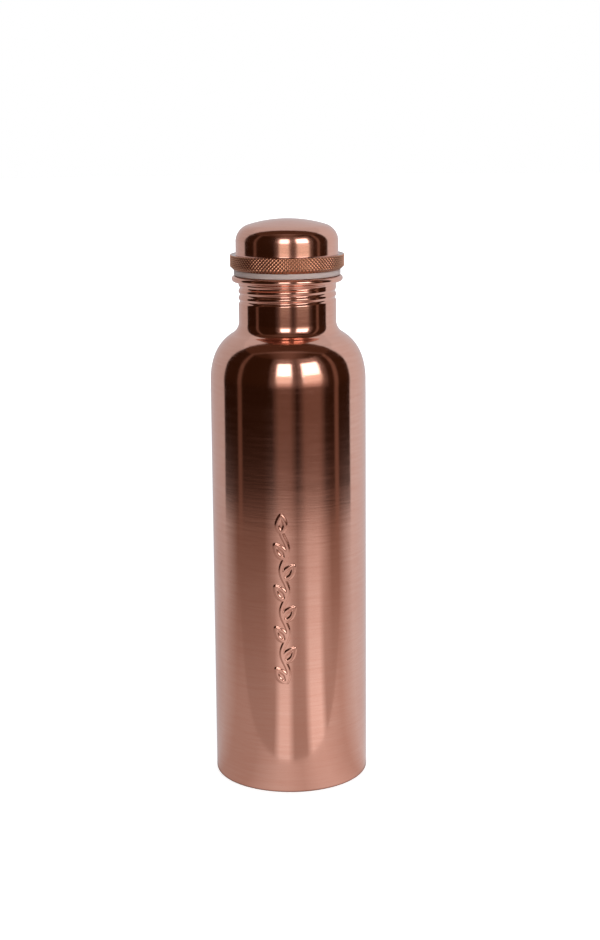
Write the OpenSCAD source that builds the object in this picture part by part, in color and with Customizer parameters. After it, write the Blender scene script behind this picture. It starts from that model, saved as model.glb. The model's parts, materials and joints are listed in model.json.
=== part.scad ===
// Copper water bottle with a screw-in cap.
// Frame: millimetres, +Z up, origin at the centre of the flat foot.
// The cap is drawn screwed home. Turning it anticlockwise, seen from above, raises it by
// one thread pitch per turn.

/* [Body] */
// Outside diameter of the straight side
body_d = 72; // [60:1:90]
// Height at which the straight side gives way to the shoulder
side_h = 189.2; // [150:0.1:230]
// Thickness of the copper sheet
wall_t = 0.5; // [0.45:0.05:0.6]
// Radius of the shoulder's long lower curve
shoulder_low_r = 33; // [32:0.5:34]
// Angle through which the lower curve turns
shoulder_low_angle = 18.5; // [17:0.5:20]
// Radius of the shoulder's tighter upper curve
shoulder_r = 20; // [19.6:0.1:20.6]
// Radius of the corner between the side and the foot
foot_r = 1.2; // [0.8:0.1:2]
// Width of the flat ring that the bottle stands on
foot_land = 3; // [2:0.5:6]
// Height of the recessed base above the table
base_recess = 2; // [1.5:0.1:4]

/* [Neck] */
// Outside diameter of the neck
neck_d = 45; // [44:0.1:46]
// Radius of the hollow curve between the shoulder and the neck
neck_fillet = 6.5; // [5.5:0.5:7.5]
// Height of the top of the rolled lip
lip_z = 237.2; // [237:0.1:238]
// Radius of the bead along the edge of the lip
bead_r = 1.4; // [1.2:0.1:1.4]
// Outside diameter of the lip
lip_d = 51.2; // [51:0.1:51.6]

/* [Thread] */
// Rise of the thread in one turn
thread_pitch = 3.1; // [3:0.05:3.2]
// Depth of the groove rolled into the sheet
thread_depth = 0.6; // [0.4:0.05:0.7]
// Height of a groove's centre line on the +X side of the neck
groove_z = 226.95; // [226.8:0.05:227.1]
// Radial gap between the neck's thread and the plug's thread
thread_gap = 0.25; // [0.2:0.05:0.35]
// Flat steps around one turn of the modelled thread
thread_steps = 64; // [48:8:72]

/* [Cap] */
// Outside diameter of the knurled ring, over the knurl
ring_d = 52.6; // [52:0.1:53]
// Height of the ring's lower face, with the cap screwed home
ring_z = 239.9; // [239.8:0.1:240.4]
// Height of the ring from its lower face to its top ledge
ring_h = 7; // [6.5:0.1:8]
// Outside diameter of the dome
dome_d = 47.2; // [46.8:0.1:47.6]
// Height of the crown of the dome
cap_top_z = 263; // [261:0.5:266]
// Radius of the dome's corner
dome_corner_r = 8; // [6:0.5:9]
// Radius of the dome's flat crown
crown_r = 61.5; // [55:0.5:80]
// Thickness of the dome
dome_t = 0.7; // [0.5:0.1:1]

/* [Gasket] */
// Outside diameter of the gasket
gasket_d = 49.1; // [48.6:0.1:49.4]
// Thickness of the gasket
gasket_h = 2.5; // [2.3:0.05:2.6]

/* [Hidden] */

$fn = 96;
arc_steps = 24;
copper = [0.80, 0.46, 0.35];
copper_inside = [0.72, 0.40, 0.30];
silicone = [0.90, 0.89, 0.87];

// Body and neck
body_r = body_d / 2;
neck_r = neck_d / 2;
lip_r = lip_d / 2;
shoulder_low_x = body_r - shoulder_low_r;
shoulder_x = shoulder_low_x + (shoulder_low_r - shoulder_r) * cos(shoulder_low_angle);
shoulder_z = side_h + (shoulder_low_r - shoulder_r) * sin(shoulder_low_angle);
fillet_x = neck_r + neck_fillet;
fillet_z = shoulder_z + sqrt(pow(shoulder_r + neck_fillet, 2) - pow(fillet_x - shoulder_x, 2));
fillet_angle = atan2(fillet_z - shoulder_z, fillet_x - shoulder_x);
bead_x = lip_r - bead_r;
bead_z = lip_z - bead_r;
lip_fillet = 0.9;
neck_top_z = bead_z - bead_r - lip_fillet;
neck_bore_r = neck_r - wall_t;
mouth_r = 1.4;

// Foot and base
foot_open_r = body_r - foot_land;
plate_t = 0.8;
plate_gap = 0.1;
plate_r = body_r - foot_r - plate_gap;
plate_flange_r = foot_open_r - 1.5;
plate_rise = base_recess - wall_t;
plate_flat_r = plate_flange_r - plate_rise;

// Thread. A groove is a raised cosine across part of the pitch, and it fades in and out at its ends.
groove_share = 0.85;
plug_groove_share = 1;
fade_h = 0.9;
thread_low_z = 224.2;
thread_high_z = neck_top_z - 0.3;
neck_blend_h = 0.4;
sleeve_low_z = 223.2;
sleeve_row_h = 0.31;
sleeve_tuck = 0.2;
sleeve_inset = 0.02;
sleeve_t = wall_t - 2.5 * sleeve_inset;

// Plug
plug_crest_r = neck_bore_r - thread_gap;
plug_root_r = plug_crest_r - thread_depth;
plug_stem_r = plug_crest_r - 0.25;
plug_low_z = 222.4;
plug_blend_h = 0.8;
plug_thread_low_z = plug_low_z + 0.9;
plug_edge_r = 0.5;
plug_hem_r = plug_root_r - 1.6;
plug_flange_t = 0.6;
disc_t = 0.8;
braze_gap = 0.05;

// Cap
dome_r = dome_d / 2;
ring_r = ring_d / 2;
ring_top_z = ring_z + ring_h;
ring_seat_z = ring_z + 2.6;
ring_base_r = 24.5;
ring_base_h = 1.55;
ring_edge = 0.4;
dome_corner_x = dome_r - dome_corner_r;
crown_z = cap_top_z - crown_r;
dome_corner_z = crown_z + sqrt(pow(crown_r - dome_corner_r, 2) - pow(dome_corner_x, 2));
dome_corner_angle = atan2(dome_corner_z - crown_z, dome_corner_x);
dome_low_z = ring_seat_z + plug_flange_t;

// Gasket
gasket_bore_r = plug_stem_r + 0.35;
gasket_r = gasket_d / 2;
gasket_edge = 0.3;

function smooth(t) =
    let (c = min(1, max(0, t)))
    c * c * (3 - 2 * c);

// Points of an arc about [x, z], from angle a0 to angle a1
function arc(x, z, r, a0, a1) = [
    for (i = [0 : arc_steps])
        let (a = a0 + (a1 - a0) * i / arc_steps)
        [x + r * cos(a), z + r * sin(a)]
];

// Depth of the helical groove at angle a and height z, from 0 on the ridge to 1 in the groove
function groove(a, z, share, low_z, high_z) =
    let (
        turns = (z - groove_z) / thread_pitch - a / 360,
        across = turns - round(turns),
        centre_z = z - across * thread_pitch,
        fade = smooth((centre_z - low_z) / fade_h) * smooth((high_z - centre_z) / fade_h)
    )
    abs(across) < share / 2 ? fade * (1 + cos(360 * across / share)) / 2 : 0;

// Outside radius of the neck's threaded stretch
function neck_thread_r(a, z) =
    let (
        blend = smooth((neck_top_z - z) / neck_blend_h),
        depth = thread_depth * blend * groove(a, z, groove_share, thread_low_z, thread_high_z)
    )
    neck_r - sleeve_inset - depth;

// Outside radius of the plug's threaded stretch. Its groove runs out through the lower end.
function plug_thread_r(a, z) =
    let (
        start_z = plug_low_z - thread_pitch,
        end_z = neck_top_z + thread_pitch,
        crest_r = plug_crest_r - thread_depth * groove(a, z, plug_groove_share, start_z, end_z),
        upper_r = plug_stem_r + (crest_r - plug_stem_r) * smooth((neck_top_z - z) / plug_blend_h),
        lead_in = smooth((z - plug_thread_low_z) / plug_blend_h)
    )
    plug_root_r + (upper_r - plug_root_r) * lead_in - sleeve_inset;

// A thin sleeve from z0 to z1. radius_at(a, z) is its outside radius.
module thread_sleeve(radius_at, z0, z1) {
    rows = ceil((z1 - z0) / sleeve_row_h);
    inner = (rows + 1) * thread_steps;
    function at(i, j) = i * thread_steps + j % thread_steps;
    function skin(inset) = [
        for (i = [0 : rows], j = [0 : thread_steps - 1])
            let (
                z = z0 + (z1 - z0) * i / rows,
                a = 360 * j / thread_steps,
                r = radius_at(a, z) - inset
            )
            [r * cos(a), r * sin(a), z]
    ];
    outer_faces = [
        for (i = [0 : rows - 1], j = [0 : thread_steps - 1])
            each [[at(i, j), at(i + 1, j), at(i + 1, j + 1)], [at(i, j), at(i + 1, j + 1), at(i, j + 1)]]
    ];
    inner_faces = [for (f = outer_faces) [inner + f[0], inner + f[2], inner + f[1]]];
    low_faces = [
        for (j = [0 : thread_steps - 1])
            each [
                [at(0, j), at(0, j + 1), inner + at(0, j + 1)],
                [at(0, j), inner + at(0, j + 1), inner + at(0, j)]
            ]
    ];
    high_faces = [
        for (j = [0 : thread_steps - 1])
            each [
                [at(rows, j), inner + at(rows, j + 1), at(rows, j + 1)],
                [at(rows, j), inner + at(rows, j), inner + at(rows, j + 1)]
            ]
    ];
    polyhedron(
        points = concat(skin(0), skin(sleeve_t)),
        faces = concat(outer_faces, inner_faces, low_faces, high_faces),
        convexity = 10
    );
}

// The drawn shell up to the thread: turned-in foot, straight side, shoulder and plain neck
module body_shell() {
    rotate_extrude() polygon(concat(
        [[foot_open_r, 0]],
        arc(body_r - foot_r, foot_r, foot_r, -90, 0),
        arc(shoulder_low_x, side_h, shoulder_low_r, 0, shoulder_low_angle),
        arc(shoulder_x, shoulder_z, shoulder_r, shoulder_low_angle, fillet_angle),
        arc(fillet_x, fillet_z, neck_fillet, fillet_angle + 180, 180),
        [[neck_r, sleeve_low_z], [neck_bore_r, sleeve_low_z]],
        arc(fillet_x, fillet_z, neck_fillet + wall_t, 180, fillet_angle + 180),
        arc(shoulder_x, shoulder_z, shoulder_r - wall_t, fillet_angle, shoulder_low_angle),
        arc(shoulder_low_x, side_h, shoulder_low_r - wall_t, shoulder_low_angle, 0),
        arc(body_r - foot_r, foot_r, foot_r - wall_t, 0, -90),
        [[foot_open_r, wall_t]]
    ));
}

// The lip, rolled outwards into a bead
module rolled_lip() {
    rotate_extrude() polygon(concat(
        [[neck_bore_r, neck_top_z]],
        arc(neck_r + lip_fillet, neck_top_z, lip_fillet, 180, 90),
        arc(bead_x, bead_z, bead_r, -90, 90),
        arc(neck_bore_r + mouth_r, lip_z - mouth_r, mouth_r, 90, 180)
    ));
}

module bottle_body() {
    color(copper) union() {
        body_shell();
        thread_sleeve(
            function(a, z) neck_thread_r(a, z),
            sleeve_low_z - sleeve_tuck,
            neck_top_z + sleeve_tuck
        );
        rolled_lip();
    }
}

// The pressed base, laid inside the foot on its turned-in edge
module base_plate() {
    color(copper) rotate_extrude() polygon([
        [0, base_recess],
        [plate_flat_r, base_recess],
        [plate_flange_r, wall_t],
        [plate_r, wall_t],
        [plate_r, wall_t + plate_t],
        [plate_flange_r + plate_t / 2, wall_t + plate_t],
        [plate_flat_r + plate_t / 2, base_recess + plate_t],
        [0, base_recess + plate_t]
    ]);
}

module sealing_gasket() {
    low_z = ring_z - gasket_h;
    color(silicone) rotate_extrude() polygon([
        [gasket_bore_r, low_z],
        [gasket_r - gasket_edge, low_z],
        [gasket_r, low_z + gasket_edge],
        [gasket_r, ring_z - gasket_edge],
        [gasket_r - gasket_edge, ring_z],
        [gasket_bore_r, ring_z]
    ]);
}

// The grip ring. The plug's flange lies on its inner seat, and the dome's skirt stands in it.
module knurled_ring() {
    color(copper) rotate_extrude() polygon([
        [plug_stem_r + braze_gap, ring_z],
        [ring_base_r, ring_z],
        [ring_r, ring_z + ring_base_h],
        [ring_r, ring_top_z - ring_edge],
        [ring_r - ring_edge, ring_top_z],
        [dome_r + braze_gap, ring_top_z],
        [dome_r + braze_gap, ring_seat_z],
        [plug_stem_r + braze_gap, ring_seat_z]
    ]);
}

module cap_dome() {
    color(copper) rotate_extrude() polygon(concat(
        [[dome_r, dome_low_z]],
        arc(dome_corner_x, dome_corner_z, dome_corner_r, 0, dome_corner_angle),
        arc(0, crown_z, crown_r, dome_corner_angle, 90),
        arc(0, crown_z, crown_r - dome_t, 90, dome_corner_angle),
        arc(dome_corner_x, dome_corner_z, dome_corner_r - dome_t, dome_corner_angle, 0),
        [[dome_r - dome_t, dome_low_z]]
    ));
}

// The plug's lower end, with a hem turned in to carry the disc
module plug_foot() {
    rotate_extrude() polygon(concat(
        [[plug_hem_r, plug_low_z]],
        arc(plug_root_r - plug_edge_r, plug_low_z + plug_edge_r, plug_edge_r, -90, 0),
        [
            [plug_root_r, plug_thread_low_z],
            [plug_root_r - wall_t, plug_thread_low_z],
            [plug_root_r - wall_t, plug_low_z + wall_t],
            [plug_hem_r, plug_low_z + wall_t]
        ]
    ));
}

// The plug's plain stem, which passes through the gasket and the ring, and its flange
module plug_stem() {
    rotate_extrude() polygon([
        [plug_stem_r - wall_t, neck_top_z],
        [plug_stem_r, neck_top_z],
        [plug_stem_r, ring_seat_z],
        [dome_r - braze_gap, ring_seat_z],
        [dome_r - braze_gap, dome_low_z],
        [plug_stem_r - wall_t, dome_low_z]
    ]);
}

module threaded_plug() {
    color(copper_inside) union() {
        plug_foot();
        thread_sleeve(
            function(a, z) plug_thread_r(a, z),
            plug_thread_low_z - sleeve_tuck,
            neck_top_z + sleeve_tuck
        );
        plug_stem();
    }
}

// The disc that closes the plug
module plug_disc() {
    disc_r = plug_root_r - wall_t - braze_gap;
    color(copper_inside)
        translate([0, 0, plug_low_z + wall_t])
            cylinder(r = disc_r, h = disc_t);
}

bottle_body();
base_plate();
sealing_gasket();
knurled_ring();
cap_dome();
threaded_plug();
plug_disc();
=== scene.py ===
"""Copper water bottle with a screw-in cap: detailed meshes, materials, studio and camera.

Shape sizes are in millimetres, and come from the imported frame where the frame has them. The studio and
the camera are in metres. Angles on the shapes are counted anticlockwise from +X, seen from above. The
front is -Y.
"""

import json
import math

import bpy
import numpy as np
from mathutils import Matrix, Vector


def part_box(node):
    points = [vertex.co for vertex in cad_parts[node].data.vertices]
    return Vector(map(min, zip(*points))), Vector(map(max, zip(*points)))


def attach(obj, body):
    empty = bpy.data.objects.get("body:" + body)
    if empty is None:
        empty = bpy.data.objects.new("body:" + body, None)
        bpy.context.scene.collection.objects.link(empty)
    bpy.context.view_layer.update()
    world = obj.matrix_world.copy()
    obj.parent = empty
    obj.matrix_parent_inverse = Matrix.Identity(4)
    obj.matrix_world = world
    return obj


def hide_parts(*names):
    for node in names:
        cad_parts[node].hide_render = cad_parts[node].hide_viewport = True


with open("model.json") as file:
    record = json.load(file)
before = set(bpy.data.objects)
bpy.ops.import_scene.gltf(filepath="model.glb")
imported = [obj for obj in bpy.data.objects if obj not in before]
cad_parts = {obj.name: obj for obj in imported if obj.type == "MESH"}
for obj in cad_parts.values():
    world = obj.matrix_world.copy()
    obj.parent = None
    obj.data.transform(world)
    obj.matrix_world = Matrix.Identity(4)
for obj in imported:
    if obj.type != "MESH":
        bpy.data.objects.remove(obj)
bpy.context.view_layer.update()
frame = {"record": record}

MM = 0.001


def span(node):
    """Outer radius, lowest z and highest z of a CAD node, in millimetres."""
    low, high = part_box(node)
    return (high.x - low.x) / 2 / MM, low.z / MM, high.z / MM


# ------------------------------------------------------------------ sizes from the frame
body_r, _, lip_z = span("bottle_body")
plate_r, plate_low, plate_high = span("base_plate")
gasket_r, gasket_low, gasket_high = span("sealing_gasket")
ring_r, ring_low, ring_high = span("knurled_ring")
dome_r, dome_low, dome_high = span("cap_dome")
flange_r, plug_low, plug_high = span("threaded_plug")
disc_r, disc_low, disc_high = span("plug_disc")
coupling = frame["record"]["behaviour"]["couplings"][0]
thread_pitch = coupling["ratio"] * 2 * math.pi / MM

# ------------------------------------------------------------------ shape of the body
wall_t = 0.5
foot_corner_r = 1.2
foot_open_r = body_r - 3
foot_edge_r = 0.2
side_h = 189.2
shoulder_low_r = 33
shoulder_low_angle = 18.5
shoulder_r = 20
neck_r = 22.5
neck_bore_r = neck_r - wall_t
neck_fillet = 6.5
lip_r = 25.6
bead_r = 1.4
bead_x = lip_r - bead_r
bead_z = lip_z - bead_r
lip_fillet = 0.9
mouth_r = 1.4
neck_top_z = bead_z - bead_r - lip_fillet

# ------------------------------------------------------------------ base plate and gasket
plate_t = 0.8
plate_seat = 1.5
plate_edge_r = 0.2
plate_fold_r = 0.9
plate_bend_r = 1.2
gasket_edge_r = 0.4
gasket_gap = 0.35
gasket_wave = 0.03

# ------------------------------------------------------------------ thread
thread_depth = 0.6
thread_gap = 0.25
groove_z = 226.95
groove_share = 0.85
plug_groove_share = 1
thread_low_z = 224.2
thread_high_z = neck_top_z - 0.3
thread_fade = 0.9
thread_row = 0.13

# ------------------------------------------------------------------ cap
dome_t = 0.7
dome_corner_r = 8
crown_r = 61.5
dome_fold = 0.5
ring_seat_z = ring_low + 2.6
ring_base_r = 24.5
ring_base_h = 1.55
knurl_count = 96
knurl_rise = 1.72
knurl_depth = 0.5
knurl_flat = 0.1
knurl_samples = 8
plug_crest_r = neck_bore_r - thread_gap
plug_root_r = plug_crest_r - thread_depth
plug_stem_r = plug_crest_r - 0.25
plug_thread_low_z = plug_low + 0.9
plug_blend = 0.8
hem_r = plug_root_r - 1.6

# ------------------------------------------------------------------ raised ornament on the front
ornament_turn = -4
ornament_low_z = 53
ornament_high_z = 132
ornament_half_w = 6.2
ornament_relief = 0.45
stroke_half_w = 0.62
stroke_shoulder = 0.42
vine_wave = 19.5
vine_sway = 1.5
leaf_length = 7.4
leaf_half_w = 1.75
leaf_lean = 38


# ------------------------------------------------------------------ outlines
def arc(x, z, r, start, end, steps=24):
    """Points of an arc about (x, z), with the angles in degrees."""
    angles = np.radians(np.linspace(start, end, steps + 1))
    return [(x + r * math.cos(a), z + r * math.sin(a)) for a in angles]


def rounded(corners, steps=5):
    """A closed outline whose corners are (x, z, radius of rounding)."""
    points = []
    for i, (x, z, r) in enumerate(corners):
        here = np.array([x, z])
        before = np.array(corners[i - 1][:2]) - here
        after = np.array(corners[(i + 1) % len(corners)][:2]) - here
        before = before / np.linalg.norm(before)
        after = after / np.linalg.norm(after)
        half = math.acos(max(-1, min(1, float(before @ after)))) / 2
        if r == 0 or half > math.radians(89):
            points.append((x, z))
            continue
        middle = (before + after) / np.linalg.norm(before + after)
        centre = here + middle * r / math.sin(half)
        start = here + before * r / math.tan(half) - centre
        end = here + after * r / math.tan(half) - centre
        for t in np.linspace(0, 1, steps + 1):
            spoke = start * (1 - t) + end * t
            points.append(tuple(centre + spoke / np.linalg.norm(spoke) * r))
    return points


def spaced(points, step, closed=True):
    """The outline with its long stretches divided, so that no stretch is longer than step(x, z)."""
    done = []
    stretches = len(points) if closed else len(points) - 1
    for i in range(stretches):
        a = np.array(points[i])
        b = np.array(points[(i + 1) % len(points)])
        length = float(np.linalg.norm(b - a))
        if length < 1e-6:
            continue
        walked = 0.0
        while walked < length - 1e-6:
            here = a + (b - a) * walked / length
            done.append(tuple(here))
            walked += min(step(here[0], here[1]), max(length - walked, 1e-3))
    if not closed:
        done.append(tuple(points[-1]))
    return np.array(done)


def smooth(t):
    """A soft step from 0 to 1."""
    t = np.clip(t, 0, 1)
    return t * t * (3 - 2 * t)


# ------------------------------------------------------------------ turned meshes
def mesh_piece(name, points, faces, body, node, material):
    """A smooth-shaded mesh piece that rides on a body and stands for a CAD node."""
    mesh = bpy.data.meshes.new(name)
    mesh.from_pydata(points * MM, [], faces)
    mesh.update()
    mesh.shade_smooth()
    mesh.materials.append(material)
    piece = bpy.data.objects.new(name, mesh)
    bpy.context.scene.collection.objects.link(piece)
    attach(piece, body)
    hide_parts(node)
    return piece


def turned(outline, angles, relief=None):
    """Points and faces of a closed outline turned about the axis. Where it meets the axis it has a pole.

    The outline runs anticlockwise in (radius, z), with the metal on its left. relief(row, z, angle) is
    added to the radius.
    """
    rows = [i for i, (r, _) in enumerate(outline) if r > 1e-6]
    radius = outline[rows, 0][:, None] * np.ones(len(angles))
    height = outline[rows, 1][:, None] * np.ones(len(angles))
    if relief is not None:
        radius = radius + relief(np.array(rows)[:, None], height, angles[None, :])
    points = np.stack([radius * np.cos(angles), radius * np.sin(angles), height], axis=-1).reshape(-1, 3)
    columns = len(angles)
    order = {row: k for k, row in enumerate(rows)}
    faces = []
    poles = []
    for i in range(len(outline)):
        j = (i + 1) % len(outline)
        if i in order and j in order:
            low = order[i] * columns
            high = order[j] * columns
            for k in range(columns):
                m = (k + 1) % columns
                faces.append((low + k, low + m, high + m, high + k))
        elif i in order or j in order:
            pole = len(points) + len(poles)
            poles.append((0, 0, outline[j if i in order else i][1]))
            ring = order[i if i in order else j] * columns
            for k in range(columns):
                m = (k + 1) % columns
                faces.append((ring + k, ring + m, pole) if i in order else (ring + m, ring + k, pole))
    if poles:
        points = np.vstack([points, poles])
    return points, faces


def even_angles(count):
    """Angles spaced evenly round the axis."""
    return np.linspace(0, 2 * math.pi, count, endpoint=False)


# ------------------------------------------------------------------ relief
def groove(angle, z, share, low_z, high_z):
    """Depth of the helical groove, from 0 on the ridge to 1 in the groove."""
    turns = (z - groove_z) / thread_pitch - angle / (2 * math.pi)
    across = turns - np.round(turns)
    centre_z = z - across * thread_pitch
    fade = smooth((centre_z - low_z) / thread_fade) * smooth((high_z - centre_z) / thread_fade)
    return np.where(np.abs(across) < share / 2, fade * (1 + np.cos(2 * math.pi * across / share)) / 2, 0)


def neck_thread(z, angle):
    """What the rolled thread takes from the neck's radius."""
    blend = smooth((neck_top_z - z) / 0.4)
    return -thread_depth * blend * groove(angle, z, groove_share, thread_low_z, thread_high_z)


def plug_thread(z, angle):
    """What the thread adds to the plug's plain stem."""
    start_z = plug_low - thread_pitch
    end_z = neck_top_z + thread_pitch
    thread_r = plug_crest_r - thread_depth * groove(angle, z, plug_groove_share, start_z, end_z)
    upper_r = plug_stem_r + (thread_r - plug_stem_r) * smooth((neck_top_z - z) / plug_blend)
    lead_in = smooth((z - plug_thread_low_z) / plug_blend)
    return plug_root_r + (upper_r - plug_root_r) * lead_in - plug_stem_r


def leaf(x, z, lean):
    """The outline of a leaf that starts at (x, z) and leans from the vertical, in degrees."""
    along = np.linspace(0, 1, 15)
    half = leaf_half_w * np.sin(math.pi * along) ** 0.8 * (1.25 - 0.5 * along)
    across = np.concatenate([half, -half[::-1]])
    along = np.concatenate([along, along[::-1]]) * leaf_length
    turn = math.radians(lean)
    leaf_x = x + along * math.sin(turn) + across * math.cos(turn)
    leaf_z = z + along * math.cos(turn) - across * math.sin(turn)
    return np.stack([leaf_x, leaf_z], axis=1)


def ornament_strokes():
    """A climbing vine with a leaf at each bend, as lines of (across, z) on the unrolled side."""
    z = np.arange(ornament_low_z + 1, ornament_high_z - 7, 0.5)
    phase = 2 * math.pi * (z - ornament_low_z) / vine_wave
    strokes = [np.stack([vine_sway * np.sin(phase), z], axis=1)]
    bends = int((ornament_high_z - ornament_low_z - 8) / (vine_wave / 2))
    for i in range(bends):
        bend_z = ornament_low_z + vine_wave * (i / 2 + 0.05)
        side = 1 if i % 2 else -1
        start_x = vine_sway * math.sin(2 * math.pi * (bend_z - ornament_low_z) / vine_wave)
        strokes.append(leaf(start_x, bend_z, side * leaf_lean))
    strokes.append(leaf(strokes[0][-1][0], strokes[0][-1][1], 0))
    return strokes


def ornament_height(across, z):
    """Height of the ornament above the side, for points on the unrolled side."""
    nearest = np.full(across.shape, 1e9)
    for line in ornament_strokes():
        for (x0, z0), (x1, z1) in zip(line[:-1], line[1:]):
            dx, dz = x1 - x0, z1 - z0
            length = dx * dx + dz * dz + 1e-12
            t = np.clip(((across - x0) * dx + (z - z0) * dz) / length, 0, 1)
            nearest = np.minimum(nearest, np.hypot(across - x0 - t * dx, z - z0 - t * dz))
    return ornament_relief * smooth((stroke_half_w + stroke_shoulder - nearest) / stroke_shoulder)


# ------------------------------------------------------------------ pieces
def body_outline():
    """The shell's outline: up the outside, over the lip and down the inside, and which rows are outside."""
    low_x = body_r - shoulder_low_r
    reach = shoulder_low_r - shoulder_r
    high_x = low_x + reach * math.cos(math.radians(shoulder_low_angle))
    high_z = side_h + reach * math.sin(math.radians(shoulder_low_angle))
    fillet_x = neck_r + neck_fillet
    fillet_z = high_z + math.sqrt((shoulder_r + neck_fillet) ** 2 - (fillet_x - high_x) ** 2)
    tilt = math.degrees(math.atan2(fillet_z - high_z, fillet_x - high_x))
    outside = (
        arc(foot_open_r + foot_edge_r, foot_edge_r, foot_edge_r, 180, 270, 4)
        + arc(body_r - foot_corner_r, foot_corner_r, foot_corner_r, -90, 0, 10)
        + arc(low_x, side_h, shoulder_low_r, 0, shoulder_low_angle, 20)
        + arc(high_x, high_z, shoulder_r, shoulder_low_angle, tilt, 40)[1:]
        + arc(fillet_x, fillet_z, neck_fillet, tilt + 180, 180, 24)
        + arc(neck_r + lip_fillet, neck_top_z, lip_fillet, 180, 90, 10)
        + arc(bead_x, bead_z, bead_r, -90, 90, 20)
        + arc(neck_bore_r + mouth_r, lip_z - mouth_r, mouth_r, 90, 180, 10)
    )
    inside = (
        [(neck_bore_r, lip_z - mouth_r)]
        + arc(fillet_x, fillet_z, neck_fillet + wall_t, 180, tilt + 180, 16)
        + arc(high_x, high_z, shoulder_r - wall_t, tilt, shoulder_low_angle, 20)
        + arc(low_x, side_h, shoulder_low_r - wall_t, shoulder_low_angle, 0, 10)[1:]
        + arc(body_r - foot_corner_r, foot_corner_r, foot_corner_r - wall_t, 0, -90, 6)
        + [(foot_open_r, wall_t), (foot_open_r, foot_edge_r)]
    )

    def outer_step(x, z):
        if ornament_low_z - 3 < z < ornament_high_z + 3 and x > neck_bore_r + mouth_r:
            return 0.3
        if thread_low_z - 1.5 < z < neck_top_z and x > neck_bore_r + 0.1:
            return thread_row
        return 2.5

    def inner_step(x, z):
        if thread_low_z - 1.5 < z < neck_top_z:
            return thread_row
        return 5

    outer_rows = spaced(outside, outer_step, closed=False)
    inner_rows = spaced(inside, inner_step, closed=False)
    return np.vstack([outer_rows[:-1], inner_rows]), len(outer_rows) - 1


def body_angles():
    """Angles of the body's columns, close together behind the ornament."""
    centre = math.radians(ornament_turn - 90)
    half = ornament_half_w / body_r + 0.01
    close = np.linspace(centre - half, centre + half, 58)
    wide = np.linspace(centre + half, centre - half + 2 * math.pi, 178)[1:-1]
    return np.concatenate([close, wide])


def make_body(material):
    """The shell with its rolled thread, and the ornament on its outside."""
    outline, outer_rows = body_outline()
    centre = math.radians(ornament_turn - 90)

    def relief(row, z, angle):
        turned_by = (angle - centre + math.pi) % (2 * math.pi) - math.pi
        across = turned_by * body_r + 0 * z
        near = (np.abs(across) < ornament_half_w + 1) & (z > ornament_low_z - 2) & (z < ornament_high_z + 2)
        near = near & (row < outer_rows)
        raised = np.zeros(across.shape)
        raised[near] = ornament_height(across[near], (z + 0 * angle)[near])
        return raised + neck_thread(z, angle)

    points, faces = turned(outline, body_angles(), relief)
    return mesh_piece("Bottle_body", points, faces, "bottle", "bottle_body", material)


def make_base(material):
    """A pressed disc with a flat rim and a raised middle."""
    flange_in = foot_open_r - plate_seat
    rise = plate_high - plate_low - plate_t
    flat_r = flange_in - rise
    lean = plate_t / 2
    outline = rounded(
        [
            (0, plate_low + rise, 0),
            (flat_r, plate_low + rise, plate_bend_r),
            (flange_in, plate_low, plate_fold_r),
            (plate_r, plate_low, plate_edge_r),
            (plate_r, plate_low + plate_t, plate_edge_r),
            (flange_in + lean, plate_low + plate_t, plate_fold_r),
            (flat_r + lean, plate_high, plate_bend_r),
            (0, plate_high, 0),
        ]
    )
    points, faces = turned(spaced(outline, lambda x, z: 2), even_angles(160))
    return mesh_piece("Base_plate", points, faces, "bottle", "base_plate", material)


def make_gasket(material):
    """The washer between the cap's ring and the lip."""
    bore = plug_stem_r + gasket_gap
    outline = rounded(
        [
            (bore, gasket_low, gasket_edge_r),
            (gasket_r, gasket_low, gasket_edge_r),
            (gasket_r, gasket_high, gasket_edge_r),
            (bore, gasket_high, gasket_edge_r),
        ]
    )

    def relief(row, z, angle):
        """A slight waviness, as soft silicone has, that stays inside the gasket's radius."""
        return gasket_wave * np.sin(3 * angle) * np.sin(5 * angle + 1) - gasket_wave

    points, faces = turned(spaced(outline, lambda x, z: 0.5), even_angles(192), relief)
    return mesh_piece("Sealing_gasket", points, faces, "gasket", "sealing_gasket", material)


def make_ring(material):
    """The grip ring. Its diamonds are cut between two sets of slanting grooves."""
    bore = dome_r + 0.05
    outline = rounded(
        [
            (plug_stem_r + 0.05, ring_low, 0.15),
            (ring_base_r, ring_low, 0.2),
            (ring_r, ring_low + ring_base_h, 0.5),
            (ring_r, ring_high, 0.35),
            (bore, ring_high, 0.15),
            (bore, ring_seat_z, 0),
            (plug_stem_r + 0.05, ring_seat_z, 0.1),
        ]
    )
    row_h = knurl_rise / knurl_samples
    rows = spaced(outline, lambda x, z: row_h if x > ring_base_r + 0.2 else 1.2)

    def relief(row, z, angle):
        outer = rows[row[:, 0], 0][:, None]
        around = angle * knurl_count / (2 * math.pi)
        up = (z - ring_low) / knurl_rise
        slant_a = np.abs(2 * ((around + up) % 1) - 1)
        slant_b = np.abs(2 * ((around - up) % 1) - 1)
        cut = np.clip((np.maximum(slant_a, slant_b) - knurl_flat) / (1 - knurl_flat), 0, 1)
        fade = smooth((outer - ring_base_r - 0.3) / 1.0) * smooth((ring_high + 0.05 - z) / 0.35)
        return -knurl_depth * cut * fade

    points, faces = turned(rows, even_angles(knurl_count * knurl_samples), relief)
    return mesh_piece("Knurled_ring", points, faces, "cap", "knurled_ring", material)


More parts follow.
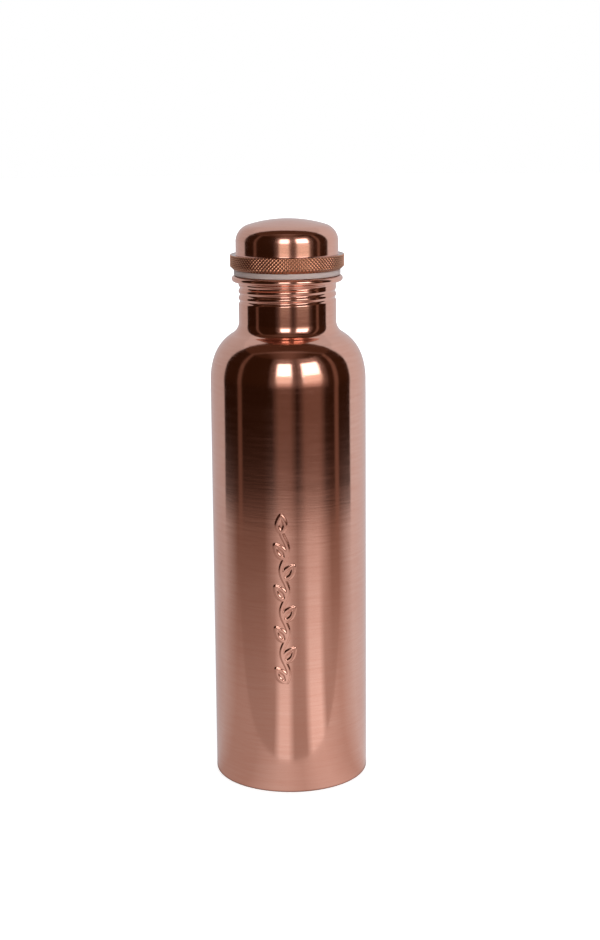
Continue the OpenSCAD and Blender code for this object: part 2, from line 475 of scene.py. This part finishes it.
def make_dome(material):
    """The crown, a shell with a straight wall, a round corner and a shallow top."""
    corner_x = dome_r - dome_corner_r
    crown_z = dome_high - crown_r
    corner_z = crown_z + math.sqrt((crown_r - dome_corner_r) ** 2 - corner_x**2)
    tilt = math.degrees(math.atan2(corner_z - crown_z, corner_x))
    outline = (
        [(dome_r, dome_low), (dome_r, ring_high + 0.03)]
        + arc(dome_r + dome_fold, ring_high + dome_fold, dome_fold, 250, 180, 8)
        + arc(corner_x, corner_z, dome_corner_r, 0, tilt, 32)
        + arc(0, crown_z, crown_r, tilt, 90, 24)[:-1]
        + [(0, dome_high), (0, dome_high - dome_t)]
        + arc(0, crown_z, crown_r - dome_t, 90, tilt, 12)[1:]
        + arc(corner_x, corner_z, dome_corner_r - dome_t, tilt, 0, 12)
        + [(dome_r - dome_t, dome_low)]
    )
    points, faces = turned(spaced(outline, lambda x, z: 2), even_angles(256))
    return mesh_piece("Cap_dome", points, faces, "cap", "cap_dome", material)


def make_plug(material):
    """The threaded tube, with a flange at the top and a hem turned in at the bottom."""
    stem_in = plug_stem_r - wall_t
    hem_in = plug_stem_r - (plug_root_r - hem_r)
    outline = rounded(
        [
            (hem_in, plug_low, 0.2),
            (plug_stem_r, plug_low, 0.5),
            (plug_stem_r, ring_seat_z, 0.1),
            (flange_r, ring_seat_z, 0.15),
            (flange_r, plug_high, 0.15),
            (stem_in, plug_high, 0.3),
            (stem_in, plug_low + wall_t, 0.1),
            (hem_in, plug_low + wall_t, 0.2),
        ]
    )
    rows = spaced(outline, lambda x, z: thread_row if plug_low + 0.8 < z < neck_top_z + 0.3 else 0.5)

    def relief(row, z, angle):
        plain = smooth((plug_high - 1 - z) / 0.5)
        return plug_thread(z, angle) * plain

    points, faces = turned(rows, even_angles(192), relief)
    return mesh_piece("Threaded_plug", points, faces, "cap", "threaded_plug", material)


def make_disc(material):
    """The flat disc on the hem of the plug."""
    outline = rounded(
        [
            (0, disc_low, 0),
            (disc_r, disc_low, 0.15),
            (disc_r, disc_high, 0.15),
            (0, disc_high, 0),
        ]
    )
    points, faces = turned(spaced(outline, lambda x, z: 2), even_angles(160))
    return mesh_piece("Plug_disc", points, faces, "cap", "plug_disc", material)


# ------------------------------------------------------------------ materials
class Nodes:
    """Short forms for building a node tree."""

    def __init__(self, tree):
        self.tree = tree
        tree.nodes.clear()

    def add(self, kind, settings=None, **inputs):
        """A node with its settings and inputs. An input is a value or another node's output socket."""
        made = self.tree.nodes.new(kind)
        for name, value in (settings or {}).items():
            setattr(made, name, value)
        for name, value in inputs.items():
            key = int(name[1:]) if name[0] == "_" else name.replace("_", " ")
            if isinstance(value, bpy.types.NodeSocket):
                self.tree.links.new(value, made.inputs[key])
            else:
                made.inputs[key].default_value = value
        return made

    def math(self, operation, a, b=0.0, clamp=False):
        """A sum, product or other operation on one or two values."""
        settings = {"operation": operation, "use_clamp": clamp}
        return self.add("ShaderNodeMath", settings, _0=a, _1=b).outputs[0]

    def spread(self, value, start, end, low=0.0, high=1.0):
        """low where the value is at start, high where it is at end, and a straight line between them."""
        made = self.add(
            "ShaderNodeMapRange", Value=value, From_Min=start, From_Max=end, To_Min=low, To_Max=high
        )
        return made.outputs[0]

    def blend(self, share, a, b, way="MIX"):
        """Colour a, with colour b laid over it by a share."""
        made = self.add("ShaderNodeMix", {"data_type": "RGBA", "blend_type": way}, _0=share, _6=a, _7=b)
        return made.outputs[2]

    def noise(self, place, scale, detail, roughness):
        """Noise from 0 to 1 at a place."""
        made = self.add("ShaderNodeTexNoise", Vector=place, Scale=scale, Detail=detail, Roughness=roughness)
        return made.outputs[0]

    def ramp(self, value, stops):
        """A ramp from value to a colour. stops are (position, colour)."""
        made = self.add("ShaderNodeValToRGB", Fac=value)
        bar = made.color_ramp
        while len(bar.elements) < len(stops):
            bar.elements.new(0.5)
        for element, (place, colour) in zip(bar.elements, stops):
            element.position = place
            element.color = colour
        return made.outputs[0]


def copper(
    name, pale, deep, roughness, lines, ripples=0.3, anisotropy=0.0, stain=0.3, spun=False, groove_shade_r=None,
    plain_z=None,
):
    """Copper with fine lines that run round the axis.

    lines is the strength of the fine lines' relief, and ripples that of the wider, shorter marks between
    them. spun marks follow the distance from the axis as well as the height, for domes and discs. stain is
    how much of the deeper colour shows in soft patches. Metal nearer the axis than groove_shade_r, in
    metres, is painted darker, a painted shade in the bottom of a groove. Below plain_z, in metres, the
    relief is faint.
    """
    material = bpy.data.materials.new(name)
    material.use_nodes = True
    nodes = Nodes(material.node_tree)
    place = nodes.add("ShaderNodeTexCoord").outputs["Object"]
    x, y, z = nodes.add("ShaderNodeSeparateXYZ", _0=place).outputs
    flat = nodes.add("ShaderNodeCombineXYZ", _0=x, _1=y).outputs[0]
    from_axis = nodes.add("ShaderNodeVectorMath", {"operation": "LENGTH"}, _0=flat).outputs["Value"]
    along = nodes.math("SUBTRACT", z, from_axis) if spun else z

    def marks(scale, stretch, detail):
        """Noise with scale marks to a metre round the axis, and stretch times as many along it."""
        up = nodes.math("MULTIPLY", along, stretch)
        spot = nodes.add("ShaderNodeCombineXYZ", _0=x, _1=y, _2=up).outputs[0]
        return nodes.noise(spot, scale, detail, 0.65)

    fine = marks(22.0, 180.0, 4.0)
    coarse = marks(9.0, 60.0, 3.0)
    short = marks(70.0, 11.0, 3.0)
    patches = nodes.noise(place, 26.0, 4.0, 0.55)
    specks = nodes.noise(place, 420.0, 2.0, 0.6)
    streaks = nodes.math("ADD", nodes.math("MULTIPLY", fine, 0.6), nodes.math("MULTIPLY", coarse, 0.4))

    tone = nodes.blend(nodes.spread(patches, 0.42, 0.68, 0, stain), (*pale, 1), (*deep, 1))
    worn = nodes.math("ADD", nodes.math("MULTIPLY", streaks, 0.5), nodes.math("MULTIPLY", short, 0.5))
    colour = nodes.blend(nodes.spread(worn, 0.4, 0.62, 0, 0.35), tone, (*deep, 1))
    brushed = nodes.spread(worn, 0.38, 0.62, roughness * 0.65, roughness * 1.4)
    rough = nodes.math("ADD", brushed, nodes.spread(patches, 0.5, 0.75, 0, roughness * 0.2))
    # Painted shade: metal deep in the knurl's grooves is coloured dark brown, where shade falls between the
    # diamonds.
    if groove_shade_r:
        groove_shade = nodes.spread(from_axis, groove_shade_r, groove_shade_r - 0.0003)
        colour = nodes.blend(nodes.math("MULTIPLY", groove_shade, 0.75), colour, (0.20, 0.06, 0.02, 1))

    relief = nodes.math("MULTIPLY", streaks, lines)
    relief = nodes.math("ADD", relief, nodes.math("MULTIPLY", short, ripples))
    relief = nodes.math("ADD", relief, nodes.math("MULTIPLY", specks, 0.05))
    if plain_z:
        relief = nodes.math("MULTIPLY", relief, nodes.spread(z, plain_z - 0.03, plain_z + 0.03, 0.25, 1))
    bump = nodes.add("ShaderNodeBump", Strength=1.0, Distance=0.00002, Height=relief)
    tangent = nodes.add("ShaderNodeTangent", {"direction_type": "RADIAL", "axis": "Z"})
    shader = nodes.add(
        "ShaderNodeBsdfPrincipled",
        Base_Color=colour,
        Metallic=1.0,
        Roughness=rough,
        Anisotropic=anisotropy,
        Anisotropic_Rotation=0.25,
        Normal=bump.outputs[0],
        Tangent=tangent.outputs[0],
    )
    nodes.add("ShaderNodeOutputMaterial", Surface=shader.outputs[0])
    return material


def silicone(name, colour):
    """Off-white silicone, slightly translucent, with a fine moulded grain and a little grime."""
    material = bpy.data.materials.new(name)
    material.use_nodes = True
    nodes = Nodes(material.node_tree)
    place = nodes.add("ShaderNodeTexCoord").outputs["Object"]
    grime = nodes.noise(place, 60.0, 5.0, 0.6)
    grain = nodes.noise(place, 1500.0, 3.0, 0.5)
    dull = tuple(c * 0.86 for c in colour)
    tone = nodes.blend(nodes.spread(grime, 0.45, 0.8, 0, 0.5), (*colour, 1), (*dull, 1))
    bump = nodes.add("ShaderNodeBump", Strength=0.25, Distance=0.00005, Height=grain)
    shader = nodes.add(
        "ShaderNodeBsdfPrincipled",
        Base_Color=tone,
        Roughness=nodes.spread(grime, 0.3, 0.7, 0.42, 0.58),
        Subsurface_Weight=0.15,
        Subsurface_Radius=(0.002, 0.0018, 0.0015),
        Subsurface_Scale=0.5,
        Normal=bump.outputs[0],
    )
    nodes.add("ShaderNodeOutputMaterial", Surface=shader.outputs[0])
    return material


# ------------------------------------------------------------------ studio
# What the bottle mirrors: a dark room with two tall lamps in front, a thin pale line at each side, a lit
# backdrop behind, and a pale table with an edge just in front of the bottle. Bearings are in degrees
# round the bottle, from the front towards +X.
wall_r = 1.1
wall_h = 1.34
wall_lap = 0.02
near_edge_y = -0.078
near_edge_soft = 0.002
near_table_r = 0.15
far_table_r = 0.45
table_edge_in = 0.53
table_edge_out = 0.63
table_edge_share = 0.85
table_end_r = 0.92
foot_shade = 0.75
foot_shade_in = 0.001
foot_shade_out = 0.0035
lamp_low_z = 0.12
lamp_core_z = 0.40
lamp_top_z = 0.95
fill_r = 0.25
fill_low_z = 0.19
fill_full_z = 0.235
fill_top_z = 0.247
ceiling_line_y = -0.47
ceiling_line_bend = 0.2
ceiling_border_y = 0.20
ceiling_border_bend = 0.09
ceiling_border_lean = -0.055
ceiling_soft = 0.02
ceiling_line_out = 0.06
ceiling_dim_x = 0.6
ceiling_lit_x = 0.1
lamps = ((-6, 8), (35, 11))
lamp_soft = 5
table_glows = ((-9, 5), (34, 7))
side_lines = ((-75, 2), (74, 2))
line_soft = 3
room_middle = -3
room_half = 106
backdrop_colour = (0.56, 0.56, 0.59, 1)
left_share = 0.85
right_share = 1.15


class Surface:
    """How bright a surface of the studio is, and how softly the lamps' glow and the backdrop fade on it.

    room is its plain level, glow that in the two spots near the lamps, and line that of the two side
    lines. glow_soft and border_soft are in degrees.
    """

    def __init__(self, room, spots, glow, glow_soft, border_soft, line=None):
        self.room = room
        self.spots = spots
        self.glow = glow
        self.glow_soft = glow_soft
        self.border_soft = border_soft
        self.line = line


low_wall = Surface(room=0.02, spots=lamps, glow=0.13, glow_soft=10, border_soft=3, line=0.13)
high_wall = Surface(room=0.03, spots=lamps, glow=0.30, glow_soft=16, border_soft=3, line=0.15)
table_far = Surface(room=0.23, spots=table_glows, glow=0.60, glow_soft=22, border_soft=28)
table_front = Surface(room=0.40, spots=table_glows, glow=0.84, glow_soft=8, border_soft=28)
table_near = Surface(room=0.47, spots=table_glows, glow=0.62, glow_soft=30, border_soft=28)


def tinted(level):
    """The colour of a level in front of the bottle. Dim places are warm, and bright ones are neutral."""
    warmth = math.exp(-level / 0.3)
    return (level, level * (0.95 - 0.60 * warmth), level * (0.97 - 0.87 * warmth), 1)


def bearing_of(nodes, place):
    """The bearing of a place in the studio, in degrees."""
    x, y, _ = nodes.add("ShaderNodeSeparateXYZ", _0=place).outputs
    turn = nodes.math("ARCTAN2", x, nodes.math("MULTIPLY", y, -1.0))
    return nodes.math("MULTIPLY", turn, 180 / math.pi)


def within(nodes, bearing, spots, soft):
    """1 inside two spots and 0 more than soft degrees outside them. A spot is (middle, half its width)."""
    shares = []
    for middle, half in spots:
        off = nodes.math("ABSOLUTE", nodes.math("SUBTRACT", bearing, middle))
        shares.append(nodes.spread(off, half + soft, half))
    return nodes.math("MAXIMUM", *shares)


def all_round(nodes, place, surface):
    """The colour of a surface of the studio at a place."""
    bearing = bearing_of(nodes, place)
    glowing = within(nodes, bearing, surface.spots, surface.glow_soft)
    colour = nodes.blend(glowing, tinted(surface.room), tinted(surface.glow))
    if surface.line:
        colour = nodes.blend(within(nodes, bearing, side_lines, line_soft), colour, tinted(surface.line))
    off = nodes.math("ABSOLUTE", nodes.math("SUBTRACT", bearing, room_middle))
    behind = nodes.spread(off, room_half - surface.border_soft, room_half)
    colour = nodes.blend(behind, colour, backdrop_colour)
    to_right = nodes.math("SINE", nodes.math("MULTIPLY", bearing, math.pi / 180))
    return nodes.blend(1.0, colour, nodes.spread(to_right, -1, 1, left_share, right_share), "MULTIPLY")


def glow(name, paint):
    """An emission material. paint(nodes, place) gives its colour."""
    material = bpy.data.materials.new(name)
    material.use_nodes = True
    nodes = Nodes(material.node_tree)
    place = nodes.add("ShaderNodeTexCoord").outputs["Object"]
    lamp = nodes.add("ShaderNodeEmission", Color=paint(nodes, place), Strength=1.0)
    nodes.add("ShaderNodeOutputMaterial", Surface=lamp.outputs[0])
    return material


def fill_light():
    """A soft strip below each lamp, which fades out towards its lower edge and at its sides."""
    material = bpy.data.materials.new("studio_fill")
    material.use_nodes = True
    nodes = Nodes(material.node_tree)
    place = nodes.add("ShaderNodeTexCoord").outputs["Object"]
    z = nodes.add("ShaderNodeSeparateXYZ", _0=place).outputs[2]
    across = within(nodes, bearing_of(nodes, place), lamps, lamp_soft)
    share = nodes.math("MULTIPLY", across, nodes.spread(z, fill_low_z, fill_full_z))
    lamp = nodes.add("ShaderNodeEmission", Color=(1.0, 0.84, 0.72, 1), Strength=1.0)
    clear = nodes.add("ShaderNodeBsdfTransparent")
    mixed = nodes.add("ShaderNodeMixShader", _0=share, _1=clear.outputs[0], _2=lamp.outputs[0])
    nodes.add("ShaderNodeOutputMaterial", Surface=mixed.outputs[0])
    return material


def stage_mesh(name, points, faces, material):
    mesh = bpy.data.meshes.new(name)
    mesh.from_pydata(points, [], faces)
    mesh.update()
    mesh.materials.append(material)
    made = bpy.data.objects.new(name, mesh)
    bpy.context.scene.collection.objects.link(made)
    return made


def disc_mesh(name, radius, z, material, steps=96):
    turns = even_angles(steps)
    points = [(radius * math.cos(a), radius * math.sin(a), z) for a in turns]
    return stage_mesh(name, points, [tuple(range(steps))], material)


def hide_from_camera(made):
    """The bottle sees this piece of the studio, and the camera doesn't."""
    made.visible_camera = False
    made.visible_shadow = False


def wall_mesh(name, radius, low_z, high_z, material, steps=128):
    turns = even_angles(steps)
    points = [(radius * math.cos(a), radius * math.sin(a), z) for z in (low_z, high_z) for a in turns]
    faces = [(k, (k + 1) % steps, steps + (k + 1) % steps, steps + k) for k in range(steps)]
    return stage_mesh(name, points, faces, material)


def wall_paint(nodes, place):
    """The room's wall with the two lamps, which have a dim skirt, a softer lower part and a bright core."""
    z = nodes.add("ShaderNodeSeparateXYZ", _0=place).outputs[2]
    low = all_round(nodes, place, low_wall)
    high = all_round(nodes, place, high_wall)
    wall = nodes.blend(nodes.spread(z, lamp_low_z - 0.10, lamp_low_z + 0.10), low, high)
    heights = [
        (lamp_low_z - 0.01, 0), (lamp_low_z + 0.04, 0.3), (lamp_low_z + 0.10, 0.35),
        (lamp_low_z + 0.14, 0.8), (lamp_core_z - 0.02, 0.85), (lamp_core_z + 0.02, 3),
        (lamp_top_z - 0.05, 3), (lamp_top_z + 0.05, 0),
    ]
    height = nodes.math("DIVIDE", z, wall_h, clamp=True)
    upright = nodes.ramp(height, [(h / wall_h, tinted(level)) for h, level in heights])
    across = within(nodes, bearing_of(nodes, place), lamps, lamp_soft)
    lit = nodes.blend(1.0, across, upright, "MULTIPLY")
    return nodes.blend(1.0, wall, lit, "ADD")


def table_paint(nodes, place):
    """A table that is paler near the bottle, gives way to the dark room, and is shaded under the foot."""
    y = nodes.add("ShaderNodeSeparateXYZ", _0=place).outputs[1]
    distance = nodes.add("ShaderNodeVectorMath", {"operation": "LENGTH"}, _0=place).outputs["Value"]
    front = all_round(nodes, place, table_front)
    near = all_round(nodes, place, table_near)
    past_edge = nodes.spread(y, near_edge_y - near_edge_soft, near_edge_y + near_edge_soft)
    close = nodes.blend(past_edge, front, near)
    far_off = nodes.spread(distance, near_table_r, far_table_r)
    inner = nodes.blend(far_off, close, all_round(nodes, place, table_far))
    edge = nodes.spread(distance, table_edge_in, table_edge_out, 0, table_edge_share)
    beyond = nodes.spread(distance, table_edge_out, table_end_r, 0, 1 - table_edge_share)
    whole = nodes.blend(nodes.math("ADD", edge, beyond), inner, all_round(nodes, place, low_wall))
    foot_r = body_r * MM
    under_foot = nodes.spread(distance, foot_r - foot_shade_in, foot_r + foot_shade_out, foot_shade, 0)
    return nodes.blend(under_foot, whole, tinted(0.06))


def ceiling_paint(nodes, place):
    """Dark in front, with a pale line across, and lit behind. The line and the border are curved."""
    x, y, _ = nodes.add("ShaderNodeSeparateXYZ", _0=place).outputs
    squared = nodes.math("MULTIPLY", x, x)
    line_y = nodes.math("ADD", nodes.math("MULTIPLY", squared, ceiling_line_bend), ceiling_line_y)
    bent = nodes.math("MULTIPLY", squared, ceiling_border_bend)
    leaning = nodes.math("MULTIPLY", x, ceiling_border_lean)
    border_y = nodes.math("ADD", nodes.math("ADD", bent, leaning), ceiling_border_y)
    past_line = nodes.math("SUBTRACT", y, line_y)
    past_border = nodes.math("SUBTRACT", y, border_y)

    middle = nodes.spread(nodes.math("ABSOLUTE", x), ceiling_dim_x, ceiling_lit_x)
    front = nodes.blend(middle, tinted(0.045), tinted(0.15))
    dark = nodes.blend(nodes.spread(past_line, -ceiling_soft, ceiling_soft), front, tinted(0.07))
    on_line = nodes.spread(nodes.math("ABSOLUTE", past_line), ceiling_line_out, ceiling_soft)
    line_share = nodes.math("MULTIPLY", on_line, nodes.spread(middle, 0, 1, 0.35, 1))
    lined = nodes.blend(line_share, dark, tinted(0.25))
    return nodes.blend(nodes.spread(past_border, -ceiling_soft, ceiling_soft), lined, backdrop_colour)


def make_studio():
    ceiling_r = wall_r + wall_lap
    wall = wall_mesh("Studio_wall", wall_r, -wall_lap, wall_h + wall_lap, glow("studio_wall", wall_paint))
    hide_from_camera(wall)
    hide_from_camera(disc_mesh("Studio_ceiling", ceiling_r, wall_h, glow("studio_ceiling", ceiling_paint)))
    hide_from_camera(disc_mesh("Studio_table", ceiling_r, -0.001, glow("studio_table", table_paint)))
    fill = wall_mesh("Studio_fill", fill_r, fill_low_z, fill_top_z, fill_light())
    hide_from_camera(fill)
    fill.visible_diffuse = False

    pale = bpy.data.materials.new("pale_floor")
    pale.use_nodes = True
    nodes = Nodes(pale.node_tree)
    shader = nodes.add(
        "ShaderNodeBsdfPrincipled",
        Base_Color=(0.60, 0.60, 0.60, 1),
        Roughness=0.9,
        Emission_Color=(1, 1, 1, 1),
        Emission_Strength=0.86,
    )
    nodes.add("ShaderNodeOutputMaterial", Surface=shader.outputs[0])
    floor = disc_mesh("Pale_floor", 6.0, -0.0002, pale)
    floor.visible_glossy = False
    floor.visible_diffuse = False
    floor.visible_transmission = False
    floor.visible_shadow = False


def make_world():
    world = bpy.data.worlds.new("white_surroundings")
    world.use_nodes = True
    nodes = Nodes(world.node_tree)
    sky = nodes.add("ShaderNodeBackground", Color=(1, 1, 1, 1), Strength=1.0)
    nodes.add("ShaderNodeOutputWorld", Surface=sky.outputs[0])
    bpy.context.scene.world = world


# ------------------------------------------------------------------ camera
camera_distance = 0.8018
camera_height = 0.3201
camera_pitch = 10.65
camera_roll = -0.535
camera_lens = 67.0
camera_shift = (0.0122, -0.0532)


def make_camera():
    data = bpy.data.cameras.new("Camera")
    data.lens = camera_lens
    data.sensor_width = 36
    data.shift_x, data.shift_y = camera_shift
    camera = bpy.data.objects.new("Camera", data)
    bpy.context.scene.collection.objects.link(camera)
    tilt = Matrix.Rotation(math.radians(90 - camera_pitch), 4, "X")
    roll = Matrix.Rotation(math.radians(camera_roll), 4, "Z")
    camera.matrix_world = Matrix.Translation((0, -camera_distance, camera_height)) @ tilt @ roll
    bpy.context.scene.camera = camera


# ------------------------------------------------------------------ build
copper_pale = (0.90, 0.535, 0.42)
copper_deep = (0.82, 0.40, 0.29)

body_copper = copper(
    "brushed_copper", copper_pale, copper_deep, 0.105, 0.25, ripples=0.5, anisotropy=0.5, plain_z=0.1
)
base_copper = copper("satin_copper", (0.86, 0.46, 0.36), copper_deep, 0.26, 0.5, stain=0.5, spun=True)
ring_copper = copper(
    "knurled_copper", (0.96, 0.53, 0.35), (0.80, 0.36, 0.20), 0.12, 0.1, ripples=0.1,
    groove_shade_r=(ring_r - 0.16) * MM,
)
dome_copper = copper(
    "polished_copper", copper_pale, copper_deep, 0.13, 0.25, anisotropy=0.3, stain=0.2, spun=True
)
plug_copper = copper("plain_copper", (0.86, 0.46, 0.35), copper_deep, 0.22, 0.4, stain=0.5)
disc_copper = copper("spun_copper", (0.86, 0.46, 0.35), copper_deep, 0.24, 0.9, stain=0.5, spun=True)

make_body(body_copper)
make_base(base_copper)
make_gasket(silicone("white_silicone", (0.84, 0.77, 0.73)))
make_ring(ring_copper)
make_dome(dome_copper)
make_plug(plug_copper)
make_disc(disc_copper)
make_world()
make_studio()
make_camera()
bpy.context.scene.view_settings.view_transform = "Standard"
